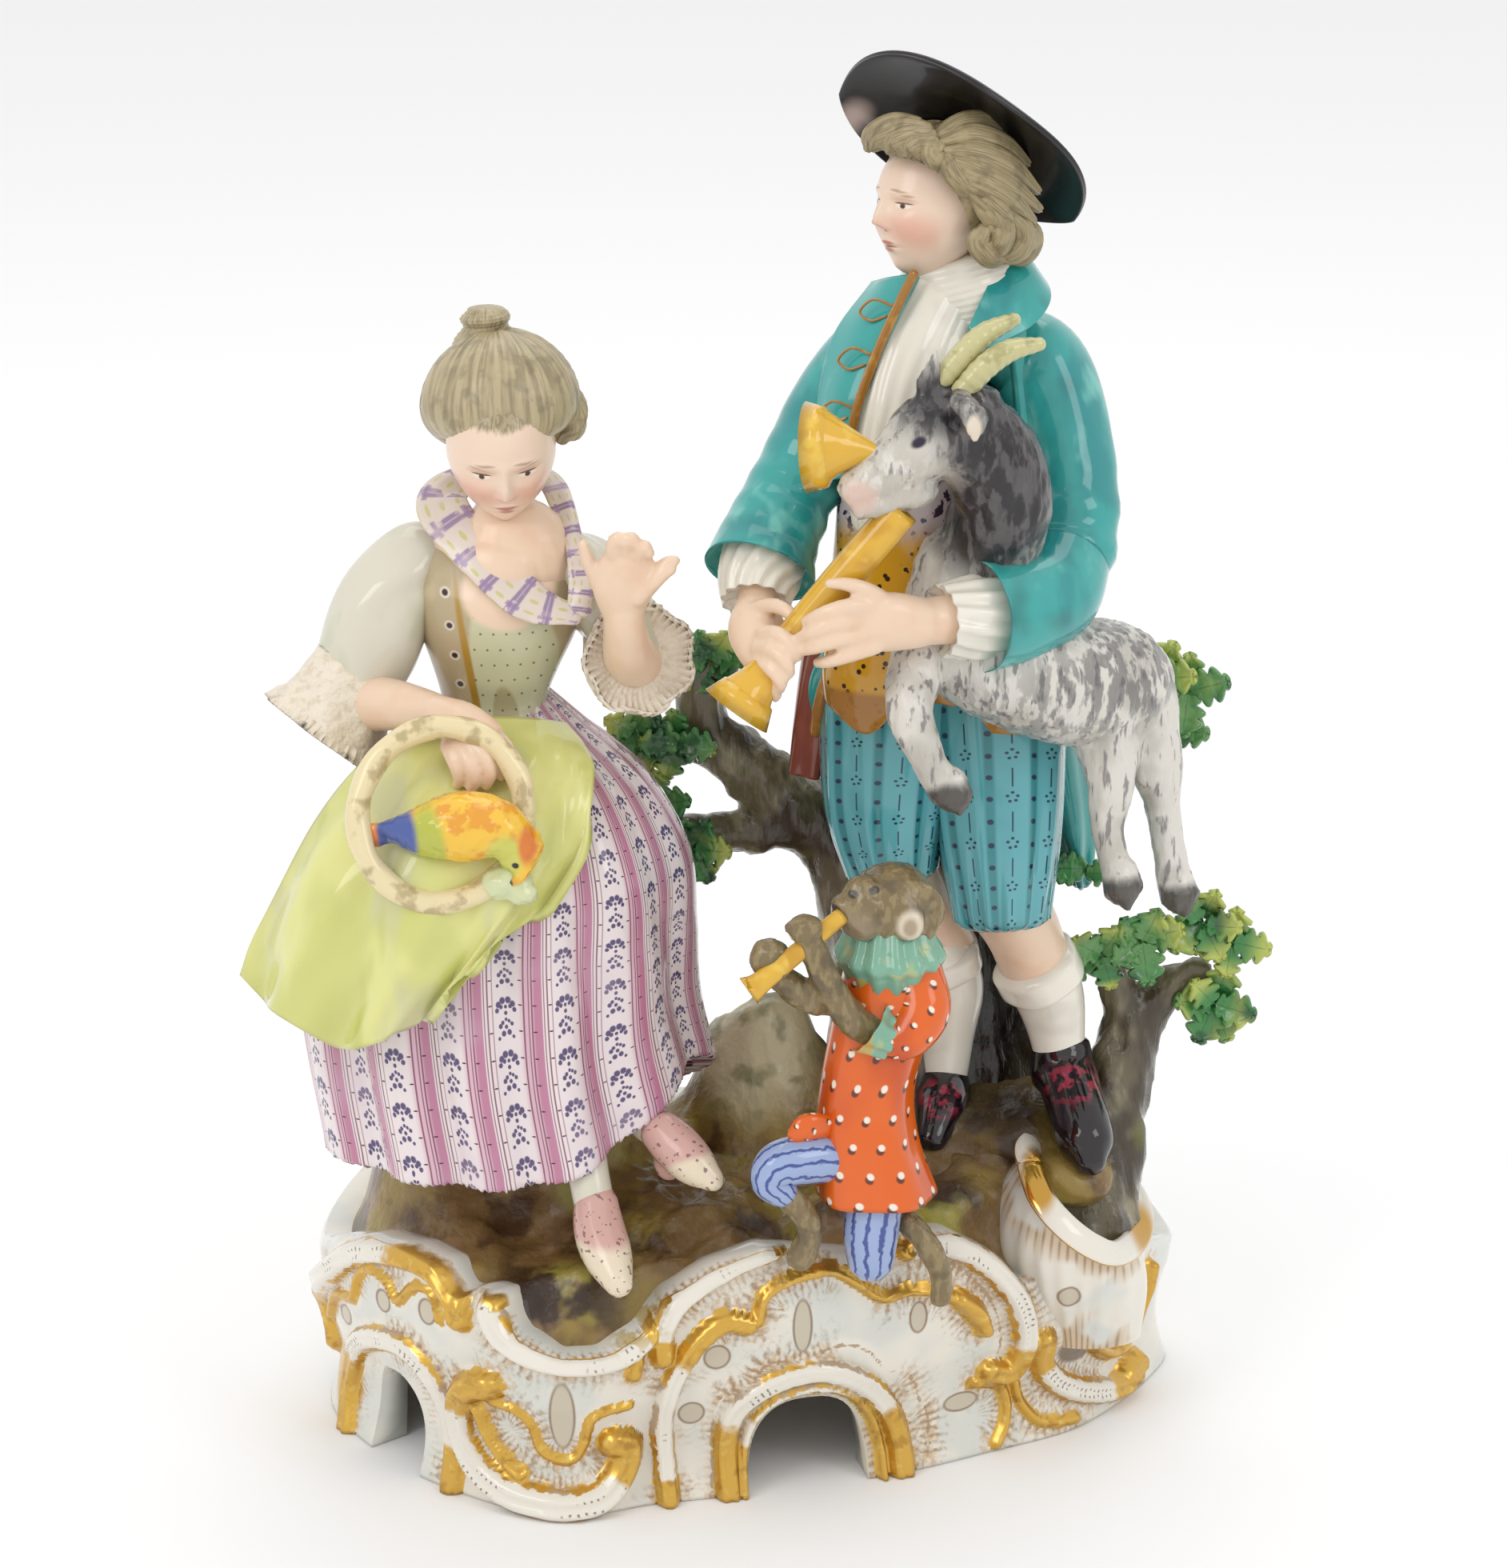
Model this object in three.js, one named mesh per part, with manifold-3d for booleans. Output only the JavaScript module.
// A porcelain figure group: a seated shepherdess with a parrot in a hoop, a standing piper whose
// bagpipe is a goat, and a kneeling monkey with a flute, round an oak stump on a rococo scroll base.
// Everything was luted together before firing, so the group and its base are one closed body.
// Millimetres, +Z up, -Y towards the side that is looked at, standing on Z = 0.

import * as THREE from "three";
import { mergeVertices } from "three/addons/utils/BufferGeometryUtils.js";
import Module from "manifold-3d";

const wasm = await Module();
wasm.setup();

// Driving dimensions of the base, in millimetres
const WALL = 9; // thickness of the pierced scroll wall
const CEILING = 24; // height of the hollow under the mound
const MOUND = 45; // level of the earth inside the scrolled rim
const BOX_CENTRE = [0.9, -1.2]; // middle of the whole group's plan, taken off so that it stands on the origin
const SKIRT_HEM = 62; // height of the shepherdess's hem
const LEAF = 6.2; // half length of an oak leaf
const LEAF_THICK = 1.8;

// Plan of the base at the floor, anticlockwise from its left end; the tenth step on is the right end
const PLAN = [
  [-85, -2], [-79, -20], [-62, -41], [-38, -55], [-18, -50], [4, -45], [27, -38], [47, -28], [65, -17],
  [80, 4], [84, 20], [70, 38], [40, 50], [5, 54], [-30, 52], [-62, 40], [-80, 20],
];
const RIGHT_END = 10 / PLAN.length;

// Height of the scrolled rim along the front, as [x, height]
const RIM = [
  [-84, 36], [-78, 41], [-66, 43], [-55, 40], [-47, 43], [-40, 36], [-30, 33], [-20, 34], [-8, 43],
  [4, 48], [14, 45], [25, 44], [36, 47], [46, 42], [52, 35], [58, 42], [68, 41], [76, 33], [84, 28],
];
const BACK_RIM = [[-84, 36], [-74, 43], [62, 43], [76, 34], [84, 28]];

// Rocks and rises of the mound, as [x, y, rise, reach in x, reach in y]
const ROCKS = [
  [-48, 4, 52, 24, 22], [0, 16, 24, 12, 12], [48, 10, 11, 26, 24], [30, 30, 12, 22, 20],
  [-78, -4, 4, 10, 12], [-12, -22, 8, 14, 12], [22, -20, 6, 16, 12],
];

const radians = THREE.MathUtils.degToRad;
const vector = ([x, y, z]) => new THREE.Vector3(x, y, z);
const { cos, sin, hypot, PI } = Math;

// The value at t, 0 to 1, in a list of evenly spaced values
function along(values, t) {
  if (!Array.isArray(values)) return values;
  const place = Math.min(t, 1) * (values.length - 1);
  const i = Math.min(Math.floor(place), values.length - 2);
  return THREE.MathUtils.lerp(values[i], values[i + 1], place - i);
}

// The height at x in a list of [x, height]
function heightAt(pairs, x) {
  const i = pairs.findIndex(([px]) => px > x);
  if (i === 0) return pairs[0][1];
  if (i < 0) return pairs.at(-1)[1];
  const [[x0, h0], [x1, h1]] = [pairs[i - 1], pairs[i]];
  return THREE.MathUtils.lerp(h0, h1, (x - x0) / (x1 - x0));
}

// A closed geometry as a solid, turned the right way out
function solid(geometry) {
  const bare = geometry.clone();
  bare.deleteAttribute("normal");
  bare.deleteAttribute("uv");
  const merged = mergeVertices(bare, 1e-4);
  const vertProperties = new Float32Array(merged.attributes.position.array);
  const triVerts = new Uint32Array(merged.index.array);
  const made = new wasm.Manifold(new wasm.Mesh({ numProp: 3, vertProperties, triVerts }));
  if (made.volume() > 0) return made;
  for (let i = 0; i < triVerts.length; i += 3) {
    [triVerts[i + 1], triVerts[i + 2]] = [triVerts[i + 2], triVerts[i + 1]];
  }
  return new wasm.Manifold(new wasm.Mesh({ numProp: 3, vertProperties, triVerts }));
}

const join = (solids) => solids.flat(Infinity).reduce((whole, piece) => whole.add(piece));

// A closed body of rings: place(angle, t, r) gives each point, and r is 0 at the middle of each end
function skin(around, steps, place) {
  const rings = new THREE.CylinderGeometry(1, 1, 1, around, steps);
  rings.deleteAttribute("normal");
  rings.deleteAttribute("uv");
  const body = mergeVertices(rings, 1e-4);
  const p = body.getAttribute("position");
  for (let i = 0; i < p.count; i++) {
    const q = place(Math.atan2(p.getZ(i), p.getX(i)), 0.5 - p.getY(i), hypot(p.getX(i), p.getZ(i)));
    p.setXYZ(i, q.x, q.y, q.z);
  }
  return solid(body);
}

// A limb: a round tube through the points, with its radius along it
function limb(points, radii, sides = 6, steps = 4) {
  const curve = new THREE.CatmullRomCurve3(points.map(vector));
  const frames = curve.computeFrenetFrames(steps);
  return skin(sides, steps, (angle, t, r) => {
    const i = Math.round(t * steps);
    const radius = r * along(radii, t);
    return curve
      .getPointAt(Math.min(t, 1))
      .addScaledVector(frames.normals[i], radius * cos(angle))
      .addScaledVector(frames.binormals[i], radius * sin(angle));
  });
}

// An egg: an ellipsoid with its three radii, turned by three angles in degrees
function egg(centre, radii, turn = [0, 0, 0], rows = 5) {
  const ball = new THREE.SphereGeometry(1, rows + 2, rows).scale(...radii);
  ball.applyMatrix4(new THREE.Matrix4().makeRotationFromEuler(new THREE.Euler(...turn.map(radians))));
  return solid(ball.translate(...centre));
}

// A body of level oval rings, each [x, y, z, reach in x, reach in y]
function rings(list, around, steps) {
  const column = (k) => list.map((ring) => ring[k]);
  const [x, y, z, rx, ry] = [0, 1, 2, 3, 4].map(column);
  return skin(around, steps, (angle, t, r) => vector([
    along(x, t) + along(rx, t) * r * cos(angle),
    along(y, t) + along(ry, t) * r * sin(angle),
    along(z, t),
  ]));
}

// A thick sheet: at(u, v) gives its face, and it is thickened away from inside
function sheet(across, down, thick, inside, at) {
  const flat = new THREE.BoxGeometry(1, 1, 1, across, down, 1);
  flat.deleteAttribute("normal");
  flat.deleteAttribute("uv");
  const body = mergeVertices(flat, 1e-4);
  const p = body.getAttribute("position");
  for (let i = 0; i < p.count; i++) {
    const face = at(p.getX(i) + 0.5, 0.5 - p.getY(i));
    const out = face.clone().sub(vector(inside)).normalize();
    face.addScaledVector(out, p.getZ(i) * thick);
    p.setXYZ(i, face.x, face.y, face.z);
  }
  return solid(body);
}

// The base

const plan = new THREE.CatmullRomCurve3(PLAN.map(([x, y]) => vector([x, y, 0])), true);

// How far the wall stands out from the plan at a height: a foot, a waist and a swelling
const swell = (z) => -2.2 * sin(PI * Math.min(z, 22) / 22) + 1.2 * sin(PI * Math.max(0, z - 22) / 26);

// The place along the plan, 0 to 1, where the front or the back passes x
function placeAt(x, back = false) {
  let [low, high] = back ? [1, RIGHT_END] : [0, RIGHT_END];
  for (let i = 0; i < 24; i++) {
    const middle = (low + high) / 2;
    if (plan.getPoint(middle % 1).x < x) low = middle;
    else high = middle;
  }
  return (low + high) / 2;
}

// A point on the wall at a place along the plan and a height, standing out by a distance
function onWall(place, z, out = 0) {
  const tangent = plan.getTangent(place % 1);
  const outward = vector([tangent.y, -tangent.x, 0]);
  return plan.getPoint(place % 1).addScaledVector(outward, swell(z) + out).setZ(z);
}

function rimHeight(place) {
  return heightAt(place < RIGHT_END ? RIM : BACK_RIM, plan.getPoint(place).x);
}

// Height of the earth and rocks
function ground(x, y) {
  return ROCKS.reduce((height, [cx, cy, rise, rx, ry]) => {
    const near = ((x - cx) / rx) ** 2 + ((y - cy) / ry) ** 2;
    return height + rise / (1 + near ** 3);
  }, MOUND);
}

// The scrolled wall and the mound on it: rings up the wall, over the rim and in over the earth
function baseBody() {
  const SHARES = [0, 0.36, 1]; // heights of the wall's rings, as shares of the rim's
  const MOUND_STEPS = 3;
  return skin(2 * PLAN.length, SHARES.length - 1 + MOUND_STEPS, (angle, t, r) => {
    const place = (angle / (2 * PI) + 1) % 1;
    const rim = rimHeight(place);
    const i = Math.round(t * (SHARES.length - 1 + MOUND_STEPS));
    if (r === 0 && i === 0) return vector([0, 0, 0]);
    if (i < SHARES.length) return onWall(place, rim * SHARES[i]);
    const inward = r === 0 ? 0 : 1 - (i - SHARES.length + 1) / (MOUND_STEPS + 0.6);
    const edge = onWall(place, rim);
    const [x, y] = [edge.x * inward, edge.y * inward];
    const lip = Math.min(1, (1 - inward) * 5);
    return vector([x, y, THREE.MathUtils.lerp(rim, ground(x, y), lip)]);
  });
}

// The hollow under the base, open below
function hollow() {
  const STEPS = 2;
  return skin(PLAN.length, STEPS, (angle, t, r) => {
    const place = (angle / (2 * PI) + 1) % 1;
    const i = Math.round(t * STEPS);
    const z = [-2, 16, CEILING][i];
    const edge = onWall(place, 0, -WALL - [0, 1, 7][i]);
    return vector([edge.x * r, edge.y * r, z]);
  });
}

// An arch through the wall at a place, with its half width and height
function arch(place, half, height) {
  const shape = new THREE.Shape();
  shape.moveTo(-half, -2);
  shape.lineTo(half, -2);
  shape.lineTo(half, height * 0.45);
  shape.absellipse(0, height * 0.45, half, height * 0.55, 0, PI, false);
  const cut = new THREE.ExtrudeGeometry(shape, { depth: 34, bevelEnabled: false, curveSegments: 4 });
  const tangent = plan.getTangent(place);
  const at = onWall(place, 0);
  const outward = vector([tangent.y, -tangent.x, 0]);
  const frame = new THREE.Matrix4().makeBasis(tangent.clone().negate(), vector([0, 0, 1]), outward.clone().negate());
  frame.setPosition(at.addScaledVector(outward, 8).setZ(0));
  return solid(cut.applyMatrix4(frame));
}

// Raised C-scrolls on the wall, as [radius, [x, z] ...] from the photograph's side
const SCROLLS = [
  [3.4, [-84, 20], [-84, 33], [-78, 42], [-66, 44], [-57, 40], [-54, 33]],
  [3.0, [-47, 45], [-46, 38], [-38, 33], [-28, 32], [-19, 34]],
  [3.6, [-56, 25], [-59, 14], [-53, 6], [-41, 2.5], [-29, 4], [-24, 10], [-26, 16]],
  [2.8, [3, 38], [-8, 37], [-15, 27], [-17, 14], [-13, 3]],
  [3.4, [-20, 32], [-12, 42], [5, 50], [20, 46], [34, 50], [46, 43], [53, 30], [50, 17]],
  [2.8, [52, 20], [57, 12], [66, 8], [76, 12], [80, 20]],
  [3.2, [36, 30], [44, 27], [46, 19]],
];

function frontScroll([radius, ...path]) {
  const points = path.map(([x, z]) => onWall(placeAt(x), z, 0.8).toArray());
  return limb(points, [radius * 0.8, radius, radius, radius, radius * 1.15], 4, path.length);
}

// Plainer scrolls on the hidden back: a C over each back arch, as [x, half width, height] of the arch
const BACK_ARCHES = [[-34, 15, 19], [36, 14, 19]];

function backScroll([x, half, height]) {
  const place = placeAt(x, true);
  const reach = (half + 2.5) / 430;
  const points = [0, 60, 120, 180].map((a) =>
    onWall(place + 1 + reach * cos(radians(a)), Math.max(2, (height + 3) * sin(radians(a))), 0.8).toArray());
  return limb(points, 3, 4, 4);
}

// The flared cup of the right scroll, open at the top, where the young tree grows out
function cup() {
  const lip = [[54, -18, 57], [56, -28, 50], [63, -31, 42], [71, -25, 38.5], [75, -13, 40.5], [75, -2, 45]];
  return [
    rings([[64, -13, 22, 9, 8], [65, -14, 36, 9, 13], [65, -11, 46, 8, 11]], 7, 2),
    limb(lip, [2.2, 3, 3.2, 3, 2.2], 4, 5),
  ];
}

const ARCHES = [[11, 12, 19], [-70, 8, 19]];

function base() {
  const cuts = [
    hollow(),
    ...ARCHES.map(([x, half, height]) => arch(placeAt(x), half, height)),
    ...BACK_ARCHES.map(([x, half, height]) => arch(placeAt(x, true) % 1, half, height)),
  ];
  const wall = cuts.reduce((body, cut) => body.subtract(cut), baseBody());
  return [wall, SCROLLS.map(frontScroll), BACK_ARCHES.map(backScroll), cup()];
}

// The oak: a stump behind the piper, a long bough to the left and a young stem out of the cup

function tree() {
  return [
    limb([[34, 20, 40], [32, 22, 66], [27, 22, 90], [22, 22, 108]], [24, 17, 13, 11], 7, 3),
    limb([[46, 18, 44], [46, 22, 80], [48, 24, 118], [56, 27, 146]], [16, 11, 9, 4], 5, 3),
    limb([[26, 22, 96], [14, 21, 112], [0, 20, 124], [-9, 18, 134], [-11, 18, 148]], [10, 8, 6.5, 5, 4.2], 6, 5),
    limb([[8, 20, 114], [-3, 18, 112], [-14, 14, 114]], [5.5, 4, 3.2], 5, 2),
    limb([[-4, 19, 130], [-20, 14, 131]], [4, 3], 4, 1),
    limb([[52, 26, 134], [76, 32, 139]], [4, 2.4], 4, 1),
    limb([[68, -8, 38], [71, 2, 54], [75, 8, 72], [77, 10, 86]], [8, 7, 7, 4.5], 6, 3),
    limb([[77, 9, 76], [88, 11, 88]], [4.5, 2.8], 5, 1),
    limb([[74, 9, 74], [69, 6, 98]], [4.5, 2.4], 5, 1),
  ];
}

// An oak leaf: a blade with four lobes
function leaf(centre, facing, roll) {
  const POINTS = 8;
  const rim = Array.from({ length: POINTS }, (_, i) => {
    const a = (2 * PI * i) / POINTS;
    const lobe = i % 2 ? 0.72 : 1;
    return new THREE.Vector2(LEAF * lobe * cos(a), LEAF * 0.72 * lobe * sin(a));
  });
  const blade = new THREE.ExtrudeGeometry(new THREE.Shape(rim), { depth: LEAF_THICK, bevelEnabled: false });
  blade.translate(0, 0, -LEAF_THICK / 2).rotateZ(roll);
  const turn = new THREE.Quaternion().setFromUnitVectors(vector([0, 0, 1]), vector(facing).normalize());
  return solid(blade.applyQuaternion(turn).translate(...centre));
}

// Sprays of leaves, each a fan round the end of its twig, as [x, y, z, number of leaves]
const SPRAYS = [[-10.5, 16, 147, 4], [-18, 14.5, 131, 4], [-12.5, 14.5, 114, 3], [69, 6, 96, 3], [87, 10.5, 87, 5], [75, 31.5, 138.7, 4]];

function spray([x, y, z, count], which) {
  return Array.from({ length: count }, (_, i) => {
    const a = (2 * PI * i) / count + which;
    const reach = LEAF * 1.02;
    const facing = [0.4 * cos(a), -0.85, 0.4 * sin(a) + 0.15];
    return leaf([x + reach * cos(a), y, z + reach * sin(a)], facing, a);
  });
}

// The shepherdess

const PLEATS = 8;

// The skirt: gathered at the waist, wide over the hips and knees, and falling in pleats to a hem
// that rises over the forward foot; as [x, y, z, reach in x, reach in y] of its rings
const SKIRT = [
  [-47, -9, 148, 9, 8], [-47, -11, 138, 22, 19], [-49, -13.5, 126, 35, 31], [-50, -14, 112, 38, 33.5],
  [-49, -14, 88, 37.5, 33.5], [-46, -14, SKIRT_HEM, 38, 34.5],
];

function skirt() {
  const STEPS = SKIRT.length - 1;
  return skin(4 * PLEATS, STEPS, (angle, t, r) => {
    const [x, y, z, rx, ry] = SKIRT[Math.round(t * STEPS)];
    const reach = r * (1 + 0.035 * t * sin(PLEATS * angle));
    const rise = 17 * r * Math.max(0, (t - 0.6) / 0.4) * Math.max(0, cos(angle + 0.35)) ** 3;
    return vector([x + rx * reach * cos(angle), y + ry * reach * sin(angle), z + rise]);
  });
}

// The lifted apron: from the waist over the lap, its corner drawn down to the left in soft folds
function apron() {
  const top = new THREE.CatmullRomCurve3([[-59, -22, 143], [-50, -22, 146], [-42, -20, 146], [-36, -18, 143]].map(vector));
  const hem = new THREE.CatmullRomCurve3([
    [-95, -30, 100], [-84, -42, 96], [-66, -53, 92], [-55, -54, 106], [-42, -52, 122], [-29, -38, 137],
  ].map(vector));
  return sheet(7, 3, 3, [-48, 0, 118], (u, v) => {
    const point = top.getPoint(u).lerp(hem.getPoint(u), v);
    const lift = sin(PI * v * 0.75) * (9 - 5 * v) + 1.1 * v * sin(u * 4 * PI);
    return point.add(vector([-0.1, -0.75, 0.65]).multiplyScalar(lift));
  });
}

function shepherdessHead() {
  return [
    egg([-46.3, -12, 205], [14.6, 14.5, 14.2], [12, 0, 4], 6), // hair
    egg([-45.2, -17.5, 199], [11, 9.5, 13.2], [28, 0, 4], 5), // face
    egg([-33.5, -13, 202], [2.4, 4, 5], [0, 0, 0], 3), // curl at the ear
    rings([[-49.8, -7, 214, 6, 6], [-49.8, -7, 221, 6.5, 6.5], [-49.8, -7, 224.5, 3.5, 3.5]], 7, 2), // topknot
    limb([[-46.5, -9, 194], [-46.5, -10, 182]], [5.2, 6.4], 6, 1), // neck
  ];
}

function shepherdessTorso() {
  return rings([
    [-47.5, -9, 187, 7, 5], [-47, -10, 182, 15.5, 10], [-46.5, -12, 169, 14.5, 12.5],
    [-46.5, -10, 148, 9.3, 8], [-46.5, -13, 143, 9, 8],
  ], 10, 4);
}

function shepherdessArms() {
  return [
    limb([[-52, -9, 183], [-61, -9, 181], [-69, -11, 172], [-77, -13, 161], [-85, -15, 149], [-87, -16, 143]],
      [4, 7, 9, 9, 8, 11], 7, 5), // full sleeve and its ruffle
    limb([[-83, -16, 149], [-75, -22, 152], [-65, -29, 152.5], [-57, -34, 151.5], [-50, -38, 149], [-47, -41, 143]],
      [5.4, 4.8, 3.8, 5, 5, 3], 6, 5), // forearm and hand
    limb([[-40, -10, 179], [-31, -10, 175], [-24, -13, 167], [-21.5, -16, 159], [-21, -16, 153.5]],
      [4, 7, 8, 10, 10.5], 7, 4),
    limb([[-20, -20, 157], [-24, -25, 166], [-26, -28, 174], [-23, -30, 181], [-19, -33, 186]],
      [4.6, 4.2, 3.6, 4.6, 3], 6, 4), // raised forearm and hand
    limb([[-24, -29, 178], [-14.5, -30, 182]], [2.2, 1.6], 4, 1), // thumb
    limb([[-27, -28, 178], [-31.5, -30, 185.5]], [2.2, 1.6], 4, 1), // first finger
  ];
}

// The hoop that she holds on her lap, with the parrot pecking in it
function hoopAndParrot() {
  const SEGMENTS = 12;
  const circle = Array.from({ length: SEGMENTS + 1 }, (_, i) => {
    const a = (2 * PI * (i + 0.4)) / SEGMENTS;
    return [-56.5 + 15 * cos(a), -47 + 1.5 * cos(a) + 6.5 * sin(a), 138 + 14.6 * sin(a)];
  });
  return [
    limb(circle, 2.3, 4, 12),
    limb([[-69, -50, 134.5], [-62, -51, 134], [-53, -51, 135.5], [-46, -51, 136], [-40, -52, 131]],
      [1.5, 4, 6.6, 6, 3.6], 6, 4),
    egg([-44.5, -52, 126.5], [5.2, 4, 3.6], [0, 0, 0], 3), // its food
  ];
}

function shepherdess() {
  return [
    skirt(), apron(), shepherdessHead(), shepherdessTorso(), shepherdessArms(), hoopAndParrot(),
    limb([[-31, -41, 76], [-30, -44, 63], [-29, -45, 58], [-27, -51, 53], [-25, -57, 48.5]], [4.4, 3.8, 4.6, 4.8, 3.4], 6, 4),
    limb([[-24, -28, 78], [-20, -33, 71], [-14, -39, 68], [-8, -44, 65]], [4, 4.2, 4.2, 3], 6, 3),
    egg([-28, -42, 44], [9, 9, 9], [0, 0, 0], 4), // the stones under her feet
    egg([-12, -36, 56], [10, 9, 10], [0, 0, 0], 4),
  ];
}

// The piper

// The hat: a broad brim on the back of the head and a low crown behind it, as [reach, rise] of its rings
const HAT_RINGS = [[0.72, -0.5], [1, -1.2], [1.02, 0.6], [0.6, 5], [0.36, 12]];

function hat() {
  const LONG = 26.5;
  const SHORT = 20.5;
  const axis = vector([0.42, 0.62, 0.62]).normalize(); // towards the crown
  const length = vector([0.8, 0.16, -0.55]);
  length.addScaledVector(axis, -length.dot(axis)).normalize();
  const width = axis.clone().cross(length);
  const steps = HAT_RINGS.length - 1;
  return skin(12, steps, (angle, t, r) => {
    const [size, rise] = HAT_RINGS[Math.round(t * steps)];
    const reach = r * size;
    const bend = reach > 0.7 ? -4.5 * (reach * sin(angle)) ** 2 : 0;
    return vector([38, 10.5, 248])
      .addScaledVector(length, LONG * reach * cos(angle))
      .addScaledVector(width, SHORT * reach * sin(angle))
      .addScaledVector(axis, rise + bend);
  });
}

function piperHead() {
  return [
    hat(),
    egg([37, 9, 243], [14, 13, 13.5], [0, -10, 0], 5), // hair
    egg([45, 9.5, 232], [6, 7, 7], [0, 0, 0], 3), // curls on the nape
    egg([30.5, 2.5, 237.5], [9.5, 10.5, 12.5], [0, 12, 25], 5), // face
    limb([[26.5, -1.5, 242], [22.5, -4.5, 237], [24.5, -2.5, 233.5]], [1.4, 2.2, 1.4], 4, 2), // nose
    limb([[37, 7, 234], [37, 8, 219]], [7, 8.5], 6, 1), // neck cloth
  ];
}

// The coat with its open front, its tails behind, and the waistcoat under it
function piperBody() {
  return [
    rings([[38, 9, 221, 8, 6], [38.5, 9, 213, 19, 11], [38, 9, 198, 19.5, 14], [35.5, 8, 178, 18, 14.5],
      [34, 7, 160, 20.5, 15], [35, 6, 146, 23, 16]], 10, 5), // coat
    rings([[31, -2, 210, 6, 6], [30, -5, 184, 12, 9], [28, -6, 164, 14, 10], [26, -7, 152, 12, 9],
      [18, -8, 146.5, 3, 3]], 8, 4), // waistcoat
    rings([[49, -1, 152, 12, 9], [49, -2, 142, 12, 10]], 8, 1), // its other skirt
    limb([[28, 3, 222], [42, 2, 223], [54, 5, 217], [53, 0, 206]], [2.5, 3.5, 4, 2.5], 4, 4), // collar
    limb([[15, 9, 154], [10.5, 9, 130]], [6, 3], 5, 1), // left tail
    rings([[56, 14, 150, 9, 10], [63, 15, 104, 2.4, 5]], 7, 1), // right tail
    rings([[34, 17, 150, 22, 8], [40, 22, 112, 16, 5]], 8, 1), // back of the coat
  ];
}

function piperArms() {
  return [
    limb([[31, 10, 212], [23, 9, 210], [15, 5, 200], [7.5, -2, 189], [3, -11, 179]], [4, 9, 8.2, 7.4, 9], 7, 4), // right sleeve
    limb([[3, -10, 180], [0.5, -19, 171], [0.5, -27, 166], [1, -32, 160]], [7, 6.2, 5.2, 4], 6, 3), // frill and hand
    limb([[46, 10, 213], [53, 8, 207], [58.5, 2, 192], [58.5, -7, 176], [52, -16, 170], [44, -23, 168]],
      [6, 10, 9, 9.6, 9.4, 10.6], 7, 5), // left sleeve and turned cuff
    limb([[46, -22, 168], [38, -28, 168.5], [26, -33, 170], [17, -36.5, 170]], [7.4, 6, 5.4, 3.8], 6, 3), // frill and hand
  ];
}

function piperLegs() {
  return [
    limb([[26, 5, 150], [26, 0, 134], [27, -5, 112]], [13.5, 12.5, 9], 8, 2), // breeches
    limb([[47, 5, 150], [47, -3, 130], [47.5, -11, 106]], [13.5, 13, 9.4], 8, 2),
    limb([[29, -3, 114], [36, 4, 98], [39, 6, 88], [38.5, 7, 76], [38, 6, 62]], [6.4, 6, 7, 5.6, 4], 6, 4), // right leg
    limb([[48, -9, 108], [53, -3, 97], [56.5, 0, 86], [59, 1, 77], [61, 0, 66]], [7.2, 6.6, 7.8, 5.8, 4.6], 6, 4), // left leg
    limb([[38, 9, 62], [35, -6, 58]], [5, 4.4], 6, 1), // shoes
    limb([[60.5, 3, 68], [62.5, -6, 65], [65, -16, 58]], [5.4, 5.8, 4.4], 6, 2),
    egg([50, 8, 56], [22, 20, 8], [0, 0, 0], 4), // the rise that he stands on
  ];
}

// The pipes: a long chanter that he fingers and a short drone with a wide bell
function pipes() {
  return [
    limb([[27, -34, 191], [16, -36, 178], [5, -37, 164.5], [1.5, -37.5, 160], [-2, -38, 155.5]], [3.6, 3, 2.8, 4.4, 7.2], 6, 4),
    limb([[21, -32, 199], [16, -31.5, 201], [12.5, -31, 203], [8.5, -30.5, 204.5]], [2.2, 3.2, 6.2, 8.8], 6, 3),
  ];
}

// The goat, which is the bag
function goat() {
  return [
    limb([[19.5, -34, 196], [25, -32, 199], [32, -28, 203], [39, -25, 204], [46, -22, 192], [42, -22, 180], [40, -20, 170]],
      [3.8, 5.8, 8.6, 9.4, 10, 10, 10], 7, 6), // head and neck
    limb([[34, -25, 212], [41, -22, 218.5], [48, -19, 223]], [2.6, 3, 1.4], 4, 2), // horns
    limb([[38, -27, 210], [44, -27, 217], [52, -26, 220.5]], [2.6, 3, 1.4], 4, 2),
    limb([[39, -30, 209], [40, -38, 205]], [3, 1.6], 4, 1), // ear
    limb([[34, -24, 163], [46, -23, 158], [58, -16, 153], [68, -4, 149], [73, 3, 142]], [10, 12, 12.5, 12, 9], 8, 4), // belly
    limb([[31, -31, 165], [28.5, -35, 156], [32, -36, 146], [35.5, -36, 138]], [5.4, 4.2, 3.3, 3.6], 5, 3), // foreleg
    limb([[66, -10, 146], [67, -15, 134], [67.5, -14, 124], [69.5, -17, 114]], [7.5, 5, 3.2, 4], 5, 3), // hind legs
    limb([[73, -3, 145], [76, -6, 134], [79, -6, 124], [81, -8, 109]], [8, 5.4, 3.4, 4.2], 5, 3),
  ];
}

// The monkey

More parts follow.
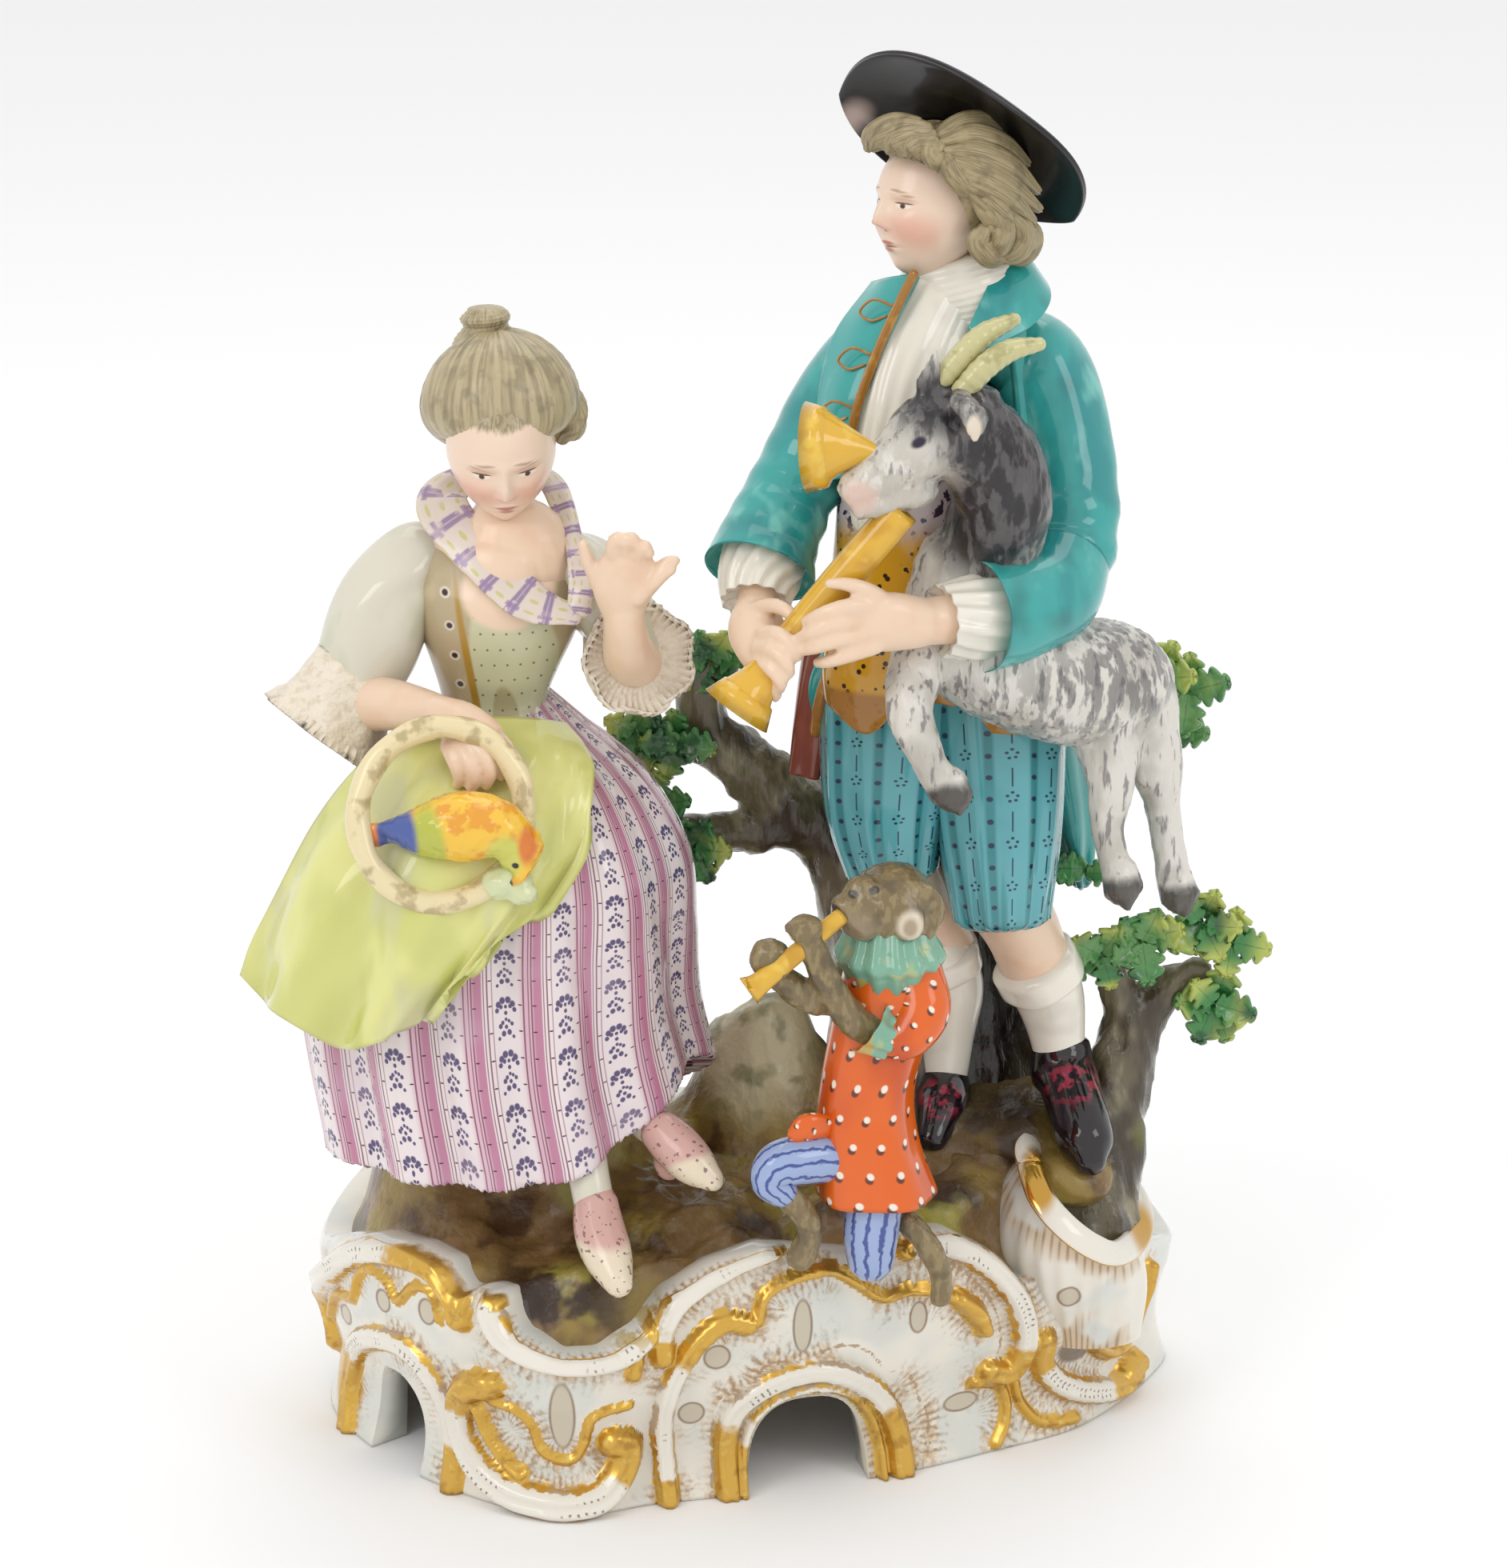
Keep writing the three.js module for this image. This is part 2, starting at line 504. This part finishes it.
function monkey() {
  return [
    egg([24.5, -41, 117.3], [8.6, 8.2, 8.8], [0, 0, 0], 4), // head
    limb([[23, -43, 116], [16.5, -45, 116]], [5.4, 4.2], 6, 1), // muzzle
    rings([[25.5, -40, 108.5, 8, 7.6], [25.5, -40, 104, 9, 8.6], [24, -41, 89, 9.4, 9], [21.5, -42, 79, 9.4, 8.6],
      [23, -44, 62, 11.4, 10.4]], 8, 4), // ruff and coat
    limb([[25, -45, 103], [24, -52, 97], [17, -54, 104], [9.5, -53, 117]], [4.6, 4.4, 3.4, 3], 5, 3), // left arm
    limb([[16, -43, 101], [9, -47, 102], [3, -50.5, 110]], [4, 3.6, 4], 5, 2),
    limb([[17, -46.5, 118.5], [0, -55, 106.5]], [1.6, 3], 5, 1), // flute
    limb([[18, -43, 70], [9, -49, 74], [3, -53, 72], [6, -53, 66], [8.5, -51, 53], [6, -46, 45]],
      [6, 5.4, 4.8, 3, 2.6, 3], 5, 5), // right leg
    limb([[23, -46, 69], [21.5, -50, 57], [20.5, -49, 48]], [7, 6.4, 4.6], 6, 2), // left leg
    limb([[30, -45, 61], [32, -50, 53], [33, -47, 44], [29, -44, 39]], [3.6, 2.8, 2.6, 2.4], 4, 3), // tail
  ];
}

// The whole group in one body: what the pieces enclose is filled, and the feet are cut level
function porcelain() {
  const pieces = [base(), tree(), SPRAYS.map(spray), shepherdess(), piperHead(), piperBody(), piperArms(),
    piperLegs(), pipes(), goat(), monkey()];
  const below = solid(new THREE.BoxGeometry(400, 400, 20).translate(0, 0, -10));
  const whole = join(pieces).subtract(below);
  return whole.decompose().reduce((largest, body) => (body.volume() > largest.volume() ? body : largest));
}

// A solid's triangles as a three.js geometry, flat shaded
function geometryOf(body) {
  const mesh = body.getMesh();
  const corners = Array.from(mesh.triVerts).flatMap((i) =>
    Array.from(mesh.vertProperties.subarray(i * mesh.numProp, i * mesh.numProp + 3)));
  const geometry = new THREE.BufferGeometry();
  geometry.setAttribute("position", new THREE.Float32BufferAttribute(corners, 3));
  geometry.computeVertexNormals();
  return geometry;
}

const glaze = new THREE.MeshStandardMaterial({ color: 0xf1efe9, roughness: 0.12, metalness: 0 });
const figureGroup = new THREE.Mesh(geometryOf(porcelain()), glaze);
figureGroup.name = "porcelain_group";
figureGroup.position.set(-BOX_CENTRE[0], -BOX_CENTRE[1], 0);

const group = new THREE.Group();
group.add(figureGroup);

export default group;
